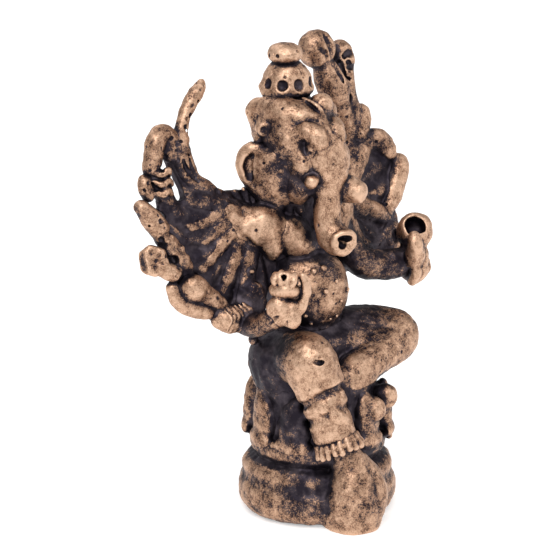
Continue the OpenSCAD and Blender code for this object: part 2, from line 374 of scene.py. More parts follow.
def model_petals():
    wax.start("lotus_petals")
    petals = 9
    behind_leg = 6
    for i in range(petals):
        angle = 4 + i * 360 / petals
        if i == behind_leg:
            continue
        axes = (turn_z(angle) @ turn_y(-6)).T
        out, along = axes[0], axes[1]
        reach = 5.5 + (0.7 if i in (3, 8) else 0) - (0.2 if i == 5 else 0)
        base = place("lotus_seat", 0, 0, -3.1) + reach * turn_z(angle)[:, 0]
        lean = RNG.uniform(-0.5, 0.5)
        wax.add(egg(base + 0.5 * out + vec(0, 0, 2.0), (1.1, 1.85, 2.1), axes), 0.25)
        wax.add(egg(base + 0.6 * out + vec(0, 0, 3.4) + 0.5 * lean * along, (0.9, 1.6, 1.5), axes), 0.35)
        wax.add(egg(base + 0.65 * out + vec(0, 0, 4.4) + lean * along, (0.65, 0.95, 1.0), axes), 0.35)
        wax.add(egg(base - 0.8 * out + vec(0, 0, 2.6), (1.8, 1.9, 3.2), axes), 0.5)
        wax.add(egg(base + 1.0 * out + vec(0, 0, 0.2), (0.8, 2.0, 1.0), axes), 0.4)
    bumps([at(-6.59, -0.66, -3.0), at(6.81, -3.46, -4.3)], 0.42, 0.1)
    bumps([at(1.81, -6.36, 0.5), at(4.31, -5.46, 1.1)], 1.35, 0.3)


def model_foot():
    wax.start("foot_lotus")
    wax.add(tier(at(0.1, 1.41, -0.2), 2.85, 1.4, 1.1), 0.9)
    wax.add(ball(at(1.6, 1.11, 0.4), 1.8), 0.7)
    wax.start("right_foot")
    wax.limb([at(-0.25, 1.05, 2.91), at(0.35, 0.85, 1.21), at(0.25, 0.45, -0.59), at(0.15, 0.35, -2.19)],
             [1.0, 1.35, 1.85, 2.35], 0.8)
    wax.limb([at(1.45, 0.75, 1.01), at(2.15, 0.35, -0.99), at(2.05, -0.05, -2.49)], [1.0, 1.45, 1.6], 0.9)
    wax.add(egg(at(0.65, -0.05, -3.19), (2.7, 2.1, 1.3)), 0.9)


# ---- Legs ----

KNEE = place("right_thigh", -0.29, -2.57, -0.19)
ANKLE = place("right_anklet", -0.1, 0.09, -0.1)
LEG = unit(ANKLE - KNEE)
LEG_AXES = facing(LEG)


def along_leg(t):
    """A point t mm above the ankle on the hanging leg's axis."""
    return ANKLE - t * LEG


def model_right_leg():
    wax.start("right_thigh")
    wax.limb([at(1.41, 3.23, -0.79), at(0.41, 0.23, -0.59), KNEE + vec(-0.1, 0, 0.1)],
             [2.3, 2.35, 2.5], 0.9)
    wax.start("right_shin")
    wax.limb([KNEE + vec(0, -0.1, -0.4), along_leg(6.2), along_leg(3.5), along_leg(0.5)],
             [2.5, 2.3, 1.9, 1.7], 0.6)
    for t, r, half, slant in ((6.2, 2.35, 1.2, -0.25), (3.9, 2.25, 0.7, 0.15), (1.4, 2.05, 1.3, 0.05)):
        axes = facing(LEG + slant * LEG_AXES[0])
        wax.add(disc(along_leg(t), r, half, 0.6, axes), 0.5)
    for t, slant, r in ((4.9, 0.3, 0.26), (2.9, 0.2, 0.18)):
        wax.carve(ring(along_leg(t), 2.42, r, facing(LEG + slant * LEG_AXES[0])), 0.6)
    front = unit(vec(-0.45, -0.9, 0))
    cloth = along_leg(2.9) + 1.9 * front
    wax.limb([cloth + vec(0.1, 0, 0.9), cloth + vec(0.7, 0, 0.1), cloth + vec(1.3, 0.1, -0.8)],
             [0.5, 0.6, 0.35], 0.4)
    wax.groove([cloth + vec(0.2, 0.1, -0.3), cloth + vec(0.9, 0.1, -0.9)], [0.14, 0.2], 0.3)
    pit = KNEE + vec(-1.05, -2.25, 0.65)
    wax.groove([pit + vec(-0.5, 0.2, 0.15), pit + vec(0, -0.1, 0), pit + vec(0.5, -0.1, -0.1)],
               [0.14, 0.26, 0.2], 0.2)
    wax.carve(ball(pit + vec(0.15, 0.0, 0.5), 0.2), 0.1)
    wax.start("right_anklet")
    cuff = facing(LEG + 0.12 * LEG_AXES[0])
    hub = along_leg(-0.3)
    wax.add(ring(hub, 1.95, 0.4, cuff), 0.3)
    teeth = 19
    for i in range(teeth):
        a = 2 * math.pi * (i + 0.3 * RNG.random()) / teeth
        out = math.cos(a) * cuff[0] + math.sin(a) * cuff[2]
        c = hub + 2.05 * out
        drop = RNG.uniform(0.5, 0.95)
        wax.add(cone(c - 0.35 * LEG, c + drop * LEG + 0.35 * out, 0.3, RNG.uniform(0.22, 0.3)), 0.15)


def model_left_leg():
    wax.start("left_thigh")
    wax.limb([at(-4.36, 2.06, 0.15), at(-0.76, 0.86, 0.55), at(2.24, -0.64, 0.25)], [2.6, 2.2, 2.0], 1.0)
    wax.add(egg(at(-1.76, -0.94, -0.05), (4.4, 2.2, 1.7)), 1.4)
    wax.start("left_shin")
    wax.limb([at(3.87, 0.83, 0.58), at(0.77, -0.17, 0.18), at(-3.03, -1.17, -0.62), at(-5.53, -1.57, -1.42)],
             [1.9, 1.55, 1.35, 1.35], 1.2)
    wax.start("left_foot")
    wax.limb([at(1.62, -0.4, -0.43), at(-0.28, -0.3, -0.23)], [1.25, 1.0], 0.6)


# ---- Body ----

def model_body():
    wax.start("hips")
    wax.add(egg(at(0, 0, -0.15), (5.8, 4.8, 3.3)), 0.9)
    wax.add(egg(at(-4.0, -1.6, 0.15), (3.0, 3.6, 2.6)), 1.2)
    wax.add(ball(at(-7.0, -0.2, 1.95), 0.6), 0.5)
    for i in range(6):
        a = math.radians(150 + 16 * i + 6 * RNG.random())
        out = vec(math.cos(a), math.sin(a), 0)
        foot = at(-1.0, -1.2, -3.65) + 4.5 * vec(out[0], 0.85 * out[1], 0)
        wax.limb([at(-1.0, -0.8, 1.75) + 4.4 * out, foot + vec(0, 0, 2.8) + 0.8 * out, foot],
                 [0.3, 0.6, 0.45], 0.9)
    wax.start("belly")
    wax.add(egg(at(0, 0, -0.48), (4.45, 4.4, 4.6)), 0.9)
    wax.start("chest")
    wax.add(egg(at(0, 0, -0.3), (5.0, 3.0, 3.9)), 0.9)
    wax.add(egg(at(0, 0.8, -4.0), (3.2, 1.9, 4.2)), 1.5)
    for side in (-1, 1):
        wax.limb([at(side * 3.1, -1.6, 0.9), at(side * 2.2, -2.2, 0.2), at(side * 1.2, -2.6, -0.7),
                  at(side * 0.5, -2.7, -1.1)], [1.2, 1.65, 1.6, 1.2], 0.6)
        wax.add(ball(at(side * 0.7, -3.7, -2.0), 0.32), 0.3)
    wax.start("neck")
    wax.add(cone(at(0, 0, -2.94), at(0, 0, 3.06), 2.6, 2.6), 0.6)
    wax.limb([at(0, 2.0, 4.06), at(0, 2.4, 1.06), at(0, 2.0, -2.44)], [1.6, 1.5, 1.9], 1.2)
    wax.limb([at(-1.7, -2.0, -0.54), at(-1.3, -2.8, -2.34)], [0.5, 0.35], 0.3)
    wax.limb([at(-2.4, -1.6, -1.14), at(-2.2, -2.1, -2.34)], [0.45, 0.3], 0.3)


def model_shoulders():
    for name, side in (("right_shoulder", -1), ("left_shoulder", 1)):
        wax.start(name)
        wax.add(egg(at(-side * 0.25, -0.7, 0.3), (2.35, 2.2, 2.15)), 0.7)
        wax.add(egg(at(side * 1.2, 0.1, 0.4), (1.6, 1.3, 1.6)), 0.9)
        wax.limb([at(-side * 0.3, -1.1, -0.6), at(-side * 0.8, -1.7, -1.8), at(-side * 0.9, -1.5, -2.8)],
                 [1.4, 0.85, 0.4], 0.6)
        wax.limb([at(side * 3.1, 0.6, 2.1), at(side * 2.3, -0.3, 0.8), at(side * 1.2, -1.3, -0.6),
                  at(side * 0.2, -1.8, -1.1)], [0.32, 0.34, 0.36, 0.25], 0.5)


# ---- Head ----

def model_head():
    wax.start("head")
    wax.add(egg(at(0, 0.7, -0.15), (3.9, 4.2, 3.9)), 0.5)
    wax.add(egg(at(-0.2, -1.0, -1.95), (3.7, 3.8, 4.0)), 1.2)
    wax.add(egg(at(0, -2.7, -2.45), (2.6, 3.0, 2.9)), 1.2)
    wax.add(egg(at(-2.7, -1.6, -0.25), (1.7, 2.3, 2.3)), 1.2)
    wax.add(egg(at(1.6, -1.4, -0.55), (1.3, 2.0, 2.2)), 1.0)
    wax.limb([at(0, -2.1, 1.85), at(-0.3, -3.2, 0.55), at(-0.3, -4.3, -0.85)], [1.2, 1.4, 1.55], 0.9)
    lens = (turn_z(14) @ turn_y(6)).T
    wax.add(egg(at(-2.0, -1.0, 2.15), (2.0, 2.8, 1.7), lens), 0.7)
    wax.add(egg(at(1.8, -1.0, 1.95), (1.8, 2.4, 1.5)), 0.8)
    wax.add(ball(at(1.1, -2.4, 2.8), 1.25), 0.3)
    wax.add(egg(at(-2.9, 2.7, 1.85), (1.15, 1.1, 1.3)), 1.0)
    wax.add(egg(at(-2.2, 1.1, 2.45), (1.4, 2.0, 1.2)), 1.0)
    wax.add(egg(at(2.9, 2.7, 1.85), (1.1, 1.1, 1.25)), 0.8)
    wax.limb([at(-0.5, -1.6, 3.65), at(-0.3, -3.1, 3.25), at(0.1, -3.8, 2.25), at(0.3, -4.1, 1.25)],
             [0.22, 0.24, 0.22, 0.16], 0.2)
    for side in (-1, 1):
        wide = side if side < 0 else 0.6
        wax.groove([at(wide * 3.3, -3.8, 1.25), at(wide * 2.4, -4.6, 1.65), at(wide * 1.4, -4.8, 2.05)],
                   [0.1, 0.2, 0.1], 0.8)
        eye = at(wide * 2.2, -4.6, -0.6)
        look = facing([0.8 * side, -0.58, 0.12])
        wax.carve(egg(eye + 0.45 * look[1] + vec(0, 0, 0.25), (1.1, 1.0, 1.75), look), 0.3)
        wax.add(egg(eye - 0.35 * look[1] + vec(0, 0, 0.1), (0.6, 0.65, 1.05), look), 0.15)
        wax.limb([at(wide * 2.9, -2.9, 0.65), at(wide * 2.4, -3.9, 1.05), at(wide * 1.85, -4.8, 0.75),
                  at(wide * 1.5, -5.5, -0.15)], [0.2, 0.32, 0.4, 0.4 if side < 0 else 0.2], 0.9)
        wax.add(egg(at(side * 2.1, -3.0, -4.65), (1.3, 1.4, 2.1)), 1.5)
        wax.add(egg(at(side * 2.6, -3.6, -2.45), (0.9, 1.0, 1.2)), 1.0)


def model_trunk():
    wax.start("trunk")
    wax.limb([at(-0.25, 1.2, 4.14), at(-0.1, 0.9, 2.84), at(-0.2, 0.9, 1.24), at(-0.25, 0.9, -0.46),
              at(-0.35, 0.8, -2.66), at(-0.25, 0.2, -4.16), at(0, -0.5, -4.46)],
             [1.95, 1.7, 1.25, 1.08, 1.05, 1.2, 1.3], 0.7)
    mouth = unit([-0.35, -0.9, 0.15])
    tip = at(-0.1, -0.7, -4.36)
    rim = [(-0.85, -0.15), (-0.45, -0.95), (0.4, -1.0), (0.95, -0.3), (0.85, 0.6), (0.1, 0.75), (-0.7, 0.45),
           (-0.85, -0.15)]
    axes = facing(mouth)
    wax.limb([tip + 0.75 * mouth + a * axes[0] * -1 + b * vec(0, 0, 1) for a, b in rim],
             [0.36, 0.4, 0.45, 0.42, 0.4, 0.36, 0.34, 0.36], 0.3)
    wax.carve(egg(tip + 1.3 * mouth + vec(0.2, 0, 0.2), (0.75, 1.2, 0.4)), 0.15)
    wax.carve(egg(tip + 1.3 * mouth + vec(-0.05, 0, -0.25), (0.42, 1.1, 0.55)), 0.15)
    wax.start("broken_right_tusk")
    wax.add(ball(at(-0.39, -0.25, 0.35), 0.66), 0.6)
    wax.start("left_tusk")
    wax.limb([at(-1.54, 1.59, 0.15), at(-0.34, 0.19, -0.05), at(0.31, -0.81, -0.25)],
             [1.2, 1.1, 1.05], 0.7)
    wax.add(disc(at(0.41, -1.31, -0.3), 1.12, 0.55, 0.4, facing([0.45, -0.85, -0.1])), 0.3)


def model_ear(side, names):
    plane = (np.diag([side, 1, 1]) @ turn_z(-35) @ turn_y(12)).T
    wax.start(names[0])
    wax.add(egg(at(-side * 0.1, -0.1, -0.12), (0.6, 2.3, 3.0), plane), 0.6)
    rim = [(0.1, 0.1, 2.68), (0.8, 1.0, 2.58), (1.3, 1.6, 1.48), (1.3, 1.5, 0.18), (0.9, 1.0, -0.92),
           (0.3, 0.3, -1.82), (-0.5, -0.5, -2.72), (-1.3, -0.9, -3.72)]
    wax.limb([at(side * x, y, z) for x, y, z in rim], [0.5, 0.52, 0.46, 0.42, 0.38, 0.4, 0.45, 0.5], 0.4)
    wax.add(egg(at(-side * 0.1, -0.7, 2.08), (0.85, 1.4, 0.6)), 0.7)
    wax.add(egg(at(-side * 0.5, -1.3, -0.62), (0.8, 1.9, 2.8), plane), 1.0)
    wax.add(egg(at(side * 0.5, 0.9, 0.68), (0.8, 0.7, 1.9)), 0.6)
    wax.groove([at(side * 0.9, 0.4, 1.88), at(side * 1.15, 0.7, 0.88), at(side * 1.0, 0.5, -0.32)],
               [0.12, 0.2, 0.12], 0.6)
    wax.groove([at(side * 0.3, -0.4, 1.68), at(side * 0.6, -0.3, 1.28)], [0.1, 0.16], 0.5)
    sight = unit([0.64, 0.71, -0.29])
    hole = at(side * 0.3, -0.65, 1.23)
    wax.carve(cone(hole - 1.5 * sight, hole + 2.2 * sight, 0.13, 0.13), 0.05)
    wax.start(names[1])
    out = unit(vec(0.62 * side, -0.78, 0))
    hub = at(-side * 0.22, 0, -0.5)
    wax.add(ball(hub - 0.4 * out, 0.95), 0.6)
    wax.add(ring(hub + 0.3 * out, 0.5, 0.3, facing(out)), 0.15)
    wax.add(ball(hub - 0.2 * out + vec(0, 0, -0.75), 0.5), 0.3)
    bumps([at(-side * 0.12, 0.6, -1.65), at(-side * 0.42, -0.4, -1.7)], 0.55, 0.35)


def model_crown():
    wax.start("crown")
    centre = at(0.05, 0, -0.77)
    wax.add(egg(centre, (2.6, 2.6, 2.65)), 0.2)
    wax.add(ring(centre + vec(0, 0, -0.5), 2.3, 0.46, LEVEL), 0.6)
    wax.carve(ring(centre + vec(0, 0, -1.35), 2.75, 0.34, LEVEL), 0.35)
    pits = 9
    for i in range(pits):
        a = 2 * math.pi * (i + 0.35 + 0.15 * RNG.random()) / pits
        out = vec(math.cos(a), math.sin(a), 0)
        wax.carve(ball(centre + 2.72 * out + vec(0, 0, 0.42), RNG.uniform(0.58, 0.7)), 0.14)
        for k in range(2):
            a = 2 * math.pi * RNG.random()
            out = vec(math.cos(a), math.sin(a), 0)
            pit = centre + (2.3 - 0.5 * k) * out + vec(0, 0, 1.6 + 0.5 * k)
            wax.carve(ball(pit, RNG.uniform(0.14, 0.26)), 0.08)
    wax.start("crown_finial")
    wax.add(egg(at(-0.2, -0.2, -0.02), (1.72, 1.72, 1.15)), 0.12)
    for k in range(9):
        a = 2 * math.pi * k / 9
        pit = at(-0.2 + 1.6 * math.cos(a), -0.2 + 1.6 * math.sin(a), -0.02 + RNG.uniform(-0.3, 0.6))
        wax.carve(ball(pit, RNG.uniform(0.12, 0.22)), 0.08)


# ---- Fans of arms ----

WEB_OUTLINE = [(-2.5, 3.0), (0.7, 3.3), (2.9, 3.5), (5.0, 4.4), (6.6, 6.0), (8.4, 9.0), (9.2, 8.6),
               (8.9, 6.4), (9.8, 4.9), (11.1, 2.6), (11.4, 0.8), (11.2, -1.6), (10.6, -4.4), (9.6, -7.2),
               (7.0, -8.8), (4.2, -9.5), (1.2, -9.4), (-1.5, -6.5), (-2.6, -3.0)]
# Shoulder end, elbow and hand of each arm, in its fan, from the top one down, and its thickness
RIGHT_ARM_PATHS = [
    ([(1.0, 1.2), (4.2, 2.4), (7.0, 2.9), (7.4, 5.4), (7.6, 8.8)], 0.45),
    ([(1.0, 0.9), (3.0, 1.4), (7.4, 0.4), (9.0, 2.2), (10.2, 4.4)], 0.5),
    ([(1.0, 0.3), (3.4, 0.3), (6.0, -1.2), (8.4, -0.3), (11.1, 1.3)], 0.42),
    ([(0.9, 0.0), (3.0, -1.0), (6.9, -3.8), (9.5, -2.8), (11.8, -2.2)], 0.55),
    ([(0.6, -0.4), (2.1, -1.9), (4.9, -6.6), (6.6, -6.4), (8.3, -5.7)], 0.55),
    ([(0.3, -0.8), (1.2, -3.0), (2.8, -7.4), (3.4, -8.6), (4.6, -9.2)], 0.5),
]
LEFT_ARM_PATHS = [
    ([(1.0, 1.2), (3.4, 2.3), (5.6, 4.6), (5.8, 7.2), (5.0, 10.0)], 0.6),
    ([(1.0, 0.9), (4.2, 2.2), (6.9, 4.6), (6.8, 7.4), (6.4, 10.4)], 0.6),
    ([(1.0, 0.3), (4.4, 2.0), (8.2, 5.0), (9.6, 4.6), (10.9, 3.0)], 0.8),
    ([(0.9, 0.0), (4.6, -1.2), (8.7, -3.3), (10.5, -1.3), (12.0, 0.4)], 0.75),
    ([(0.6, -0.4), (2.1, -1.9), (4.3, -5.4), (6.4, -5.6), (8.4, -5.2)], 0.6),
    ([(0.3, -0.8), (1.2, -3.0), (2.4, -5.6), (3.2, -6.8), (4.2, -7.2)], 0.6),
]


def model_arm(fan, path, thick):
    """The upper arm stands up from the web as a rib, and the forearm sinks into it."""
    points = [fan(u, w, f) for (u, w), f in zip(path, (0.25, 0.3, 0.1, -0.2, 0.1))]
    wax.limb(points[:3], [thick, thick * 1.15, thick * 0.85], 0.8)
    wax.limb(points[2:], [thick * 0.7, 0.45, 0.6], 0.7)


def model_sprig_hand(fan):
    wax.limb([fan(4.6, 3.9, 0.1), fan(6.6, 5.2, 0.1), fan(7.3, 7.0, 0.1), fan(7.7, 9.0, 0.3)],
             [0.55, 0.9, 1.05, 0.95], 0.5)
    for k in (-0.35, 0.3):
        wax.groove([fan(5.9 + k, 4.9, 0.95), fan(7.1 + k, 6.2, 1.15), fan(7.6 + k, 8.2, 1.2)],
                   [0.1, 0.16, 0.12], 0.25)


def model_bud_hand(fan):
    wax.limb([fan(11.4, 1.0, 0.7), fan(10.6, -0.8, 0.8), fan(9.6, -2.4, 0.8), fan(9.0, -3.6, 0.7)],
             [0.9, 0.95, 0.95, 0.7], 0.35)
    bumps([fan(9.7, -1.4, 1.5), fan(10.6, 0.0, 1.5), fan(9.2, -2.5, 1.4), fan(10.7, -1.7, 1.2)],
          0.4, 0.25)
    speckle([fan(11.2, 0.6, 1.5), fan(9.1, -3.2, 1.4)], 0.8, 9, 0.3)
    for u, w in ((10.2, 0.6), (11.7, -0.9), (9.0, -1.6), (10.6, -2.4)):
        wax.carve(egg(fan(u, w, 1.1), (0.4, 0.6, 0.4), fan.axes), 0.4)


def model_noose_hand(fan):
    wax.add(ball(fan(8.75, -5.5, 1.0), 1.35), 0.25)
    wax.add(egg(fan(8.0, -5.9, 1.0), (1.4, 1.1, 1.1), turned_in_plane(fan, 35)), 0.4)
    wax.limb([fan(7.2, -6.6, 1.0), fan(6.2, -7.3, 1.0), fan(5.3, -7.9, 0.9)], [0.75, 0.6, 0.55], 0.5)
    speckle([fan(7.4, -6.4, 1.6), fan(6.0, -7.4, 1.5)], 0.7, 5, 0.2)


def turned_in_plane(fan, deg):
    """The axes of a fan, turned by deg in its plane, clockwise as seen from the front."""
    a = math.radians(deg)
    u, v, w = fan.axes
    return np.array([math.cos(a) * u + math.sin(a) * w, v, -math.sin(a) * u + math.cos(a) * w])


def model_stacked_hand(fan):
    wax.add(egg(fan(10.4, 5.3, 0.3), (1.2, 0.9, 1.7), fan.axes), 0.35)
    for i in range(3):
        w = 6.3 - 0.95 * i
        u = 10.0 + 0.18 * i
        wax.limb([fan(u + 1.1, w + 0.2, 0.9), fan(u + 0.4, w - 0.15, 1.3), fan(u - 0.25, w + 0.15, 1.3),
                  fan(u - 0.9, w - 0.25, 0.8)], [0.34, 0.38, 0.4, 0.34], 0.15)
    wax.limb([fan(12.1, 5.7, 0.5), fan(11.9, 4.3, 0.5)], [0.75, 0.7], 0.3)
    speckle([fan(12.0, 5.0, 1.1)], 0.7, 7, 0.25)


def model_right_fan():
    fan = RIGHT
    wax.start("right_web")
    wax.add(slab(fan, WEB_OUTLINE, 0.85), 0.5)
    hands = {"sprig": model_sprig_hand, "club": model_stacked_hand, "bud": model_bud_hand,
             "noose": model_noose_hand}
    for item, (path, thick) in zip(("sprig", "club", "bud", "discus", "noose", "conch"), RIGHT_ARM_PATHS):
        wax.start(item + "_arm")
        model_arm(fan, path, thick)
        if item in hands:
            hands[item](fan)
    wax.carve(slot_hole(fan, (8.95, 6.2), (8.1, 3.6), 0.42), 0.15)
    wax.carve(slot_hole(fan, (11.35, 2.6), (10.7, 1.9), 0.36), 0.15)


def model_sprig(fan):
    wax.start("sprig")
    stem = [fan(7.3, 9.2, 0.4), fan(6.9, 10.3, 0.3), fan(6.3, 11.5, 0.3), fan(5.5, 12.6, 0.3),
            fan(4.5, 13.6, 0.3), fan(3.7, 14.5, 0.3)]
    wax.limb(stem, [0.95, 0.6, 0.66, 0.74, 0.72, 0.42], 0.25)
    speckle([p - 0.6 * fan.axes[1] - 0.35 * fan.axes[0] for p in stem], 0.5, 7, 0.27)


def model_club(fan):
    wax.start("club")
    wax.limb([fan(8.4, 9.6, 0.5), fan(9.2, 10.2, 0.5), fan(10.2, 9.6, 0.6), fan(10.7, 8.2, 0.6),
              fan(11.1, 6.9, 0.5)], [0.8, 0.85, 0.95, 0.9, 0.8], 0.3)
    wax.add(egg(fan(8.8, 8.5, 0.4), (0.9, 0.7, 1.3), fan.axes), 0.4)
    speckle([fan(9.6, 7.5, 1.2), fan(8.4, 9.2, 1.1), fan(8.6, 8.2, 1.0)], 0.7, 8, 0.3)
    speckle([fan(10.6, 9.0, 1.3), fan(11.0, 7.4, 1.2)], 0.9, 9, 0.2)


def model_bud(fan):
    wax.start("bud")
    wax.add(ball(fan(12.9, 3.3, 0.7), 0.8), 0.2)
    wax.limb([fan(12.6, 2.9, 0.7), fan(12.0, 1.9, 0.8), fan(11.4, 0.9, 0.8)], [0.7, 0.95, 1.0], 0.4)
    speckle([fan(12.1, 2.2, 1.4)], 0.8, 6, 0.2)


def model_discus(fan):
    wax.start("discus")
    tilt = facing([-0.45, -0.85, 0.25])
    hub = fan(12.6, -2.1, 0.6)
    wax.add(disc(hub, 1.55, 0.6, 0.45, tilt), 0.15)
    for k in range(6):
        a = math.radians(60 * k + 20)
        out = math.cos(a) * tilt[0] + math.sin(a) * tilt[2]
        wax.add(egg(hub + 0.95 * out + 0.2 * tilt[1], (0.7, 0.55, 0.7), tilt), 0.25)
        wax.groove([hub + 0.3 * out + 0.85 * tilt[1], hub + 1.1 * out + 0.8 * tilt[1]], [0.16, 0.1], 0.2)
    wax.carve(egg(hub + 0.9 * tilt[1] - 0.3 * tilt[0], (0.45, 0.4, 0.2), tilt), 0.2)
    wax.limb([fan(11.7, -3.0, 0.7), fan(10.5, -3.7, 0.9)], [0.8, 0.8], 0.3)
    speckle([fan(10.6, -3.4, 1.4)], 0.7, 5, 0.22)


def model_noose(fan):
    wax.start("noose")
    arc = [fan(10.7, -5.2, 0.4), fan(10.3, -6.3, 0.4), fan(9.4, -7.2, 0.4), fan(8.2, -7.8, 0.4),
           fan(6.9, -8.3, 0.5)]
    wax.limb(arc, [0.55, 0.72, 0.76, 0.76, 0.65], 0.25)
    pts, _ = curve(arc, [0] * len(arc), 2)
    heart = fan(8.7, -5.6, 0.9)
    for p in pts[1:-1]:
        inward = unit(heart - p)
        wax.add(cone(p + 0.4 * inward, p + 1.05 * inward - 0.3 * fan.axes[1], 0.28, 0.2), 0.08)


def model_conch(fan):
    wax.start("conch")
    wax.add(egg(fan(4.7, -9.3, 0.6), (2.15, 1.35, 1.5), turned_in_plane(fan, 12)), 0.3)
    for i in range(6):
        u = 5.6 - 0.5 * i
        wax.limb([fan(u + 0.2, -8.0, 1.3), fan(u - 0.3, -9.2, 1.9 - 0.05 * i), fan(u, -10.5, 1.2)],
                 [0.14, 0.22, 0.14], 0.12)
    bumps([fan(1.7, -10.2, 1.2), fan(1.6, -10.8, 1.2)], 0.33)


def model_right_items():
    for model in (model_sprig, model_club, model_bud, model_discus, model_noose, model_conch):
        model(RIGHT)


def model_mace(fan):
    wax.start("mace")
    wax.limb([fan(4.7, 10.2, 0.5), fan(4.4, 11.8, 0.4), fan(4.0, 13.5, 0.3)], [1.2, 1.35, 1.2], 0.5)
    wax.add(egg(fan(3.45, 15.55, 0.2), (2.0, 1.9, 2.0), fan.axes), 0.3)
    wax.groove([fan(3.5, 17.0, 1.5), fan(3.6, 15.7, 2.05), fan(3.9, 14.4, 1.9), fan(4.4, 12.6, 1.75),
                fan(4.6, 11.0, 1.6)], [0.1, 0.18, 0.22, 0.16, 0.12], 0.4)
    wax.groove([fan(2.3, 15.9, 1.75), fan(2.9, 14.6, 1.9), fan(3.4, 13.4, 1.7)], [0.12, 0.16, 0.1], 0.4)
    speckle([fan(3.6, 15.6, 2.0), fan(3.3, 14.2, 1.8), fan(4.2, 12.2, 1.6)], 0.9, 8, 0.28)


def model_axe(fan):
    wax.start("axe")
    wax.limb([fan(6.2, 10.6, 0.3), fan(6.4, 12.2, 0.2), fan(6.8, 13.6, 0.2), fan(7.0, 14.9, 0.2)],
             [1.05, 1.15, 1.2, 1.05], 0.5)
    wax.carve(egg(fan(7.0, 14.4, 1.45), (0.8, 0.5, 0.4), fan.axes), 0.35)
    wax.carve(egg(fan(7.0, 12.9, 1.4), (0.85, 0.4, 0.3), fan.axes), 0.4)
    speckle([fan(6.6, 11.6, 1.3), fan(6.4, 13.4, 1.3)], 0.8, 8, 0.28)
    wax.groove([fan(5.6, 13.6, 1.0), fan(5.6, 11.6, 1.2), fan(5.9, 9.6, 1.1)], [0.16, 0.2, 0.12], 0.3)


def model_goad(fan):
    wax.start("goad")
    wax.limb([fan(7.0, 6.0, 0.3), fan(7.6, 7.0, 0.4), fan(8.0, 8.1, 0.4)], [0.85, 0.95, 0.8], 0.5)
    wax.add(cone(fan(8.1, 8.2, 0.4), fan(9.0, 7.9, 0.5), 0.45, 0.18), 0.25)
    wax.limb([fan(9.2, 5.0, 0.3), fan(10.4, 4.2, 0.4), fan(11.1, 3.0, 0.4)], [0.9, 1.0, 0.85], 0.5)


def model_lotus(fan):
    wax.start("lotus")
    wax.limb([fan(12.4, 1.7, 0.3), fan(11.8, 0.4, 0.4), fan(10.6, -1.2, 0.5), fan(9.2, -2.6, 0.5)],
             [1.0, 1.05, 0.9, 0.6], 0.5)


def model_rosary(fan):
    wax.start("rosary")
    wax.add(ring(fan(9.3, -5.6, 0.4), 1.1, 0.5, fan.axes), 0.3)


def model_fruit(fan):
    wax.start("fruit")
    wax.add(ball(fan(4.8, -7.2, 0.4), 1.2), 0.4)


def model_left_fan():
    fan = LEFT
    wax.start("left_web")
    # Lower at its outer top and shorter at its foot than the right one
    outline = [(u, min(w, 5.4)) if u > 7 else (u, w) for u, w in WEB_OUTLINE]
    wax.add(slab(fan, [(u, max(w, -7.6)) for u, w in outline], 0.85), 0.5)
    for item, (path, thick) in zip(("mace", "axe", "goad", "lotus", "rosary", "fruit"), LEFT_ARM_PATHS):
        wax.start(item + "_arm")
        model_arm(fan, path, thick)
    wax.start("mace_arm")
    wax.limb([fan(6.0, 6.2, 0.3), fan(5.5, 8.2, 0.3), fan(4.7, 10.4, 0.4)], [0.6, 0.85, 1.1], 0.5)
    wax.start("axe_arm")
    wax.limb([fan(6.9, 6.0, 0.2), fan(6.8, 8.4, 0.2), fan(6.4, 10.8, 0.2)], [0.75, 0.9, 1.0], 0.5)
    # An opening between the mace arm and the web
    gap, sight = fan(4.6, 6.1), unit([0.64, 0.71, -0.29])
    wax.carve(cone(gap - 3 * sight, gap + 3 * sight, 0.5, 0.5), 0.2)
    for model in (model_mace, model_axe, model_goad, model_lotus, model_rosary, model_fruit):
        model(fan)


# ---- Front arms ----

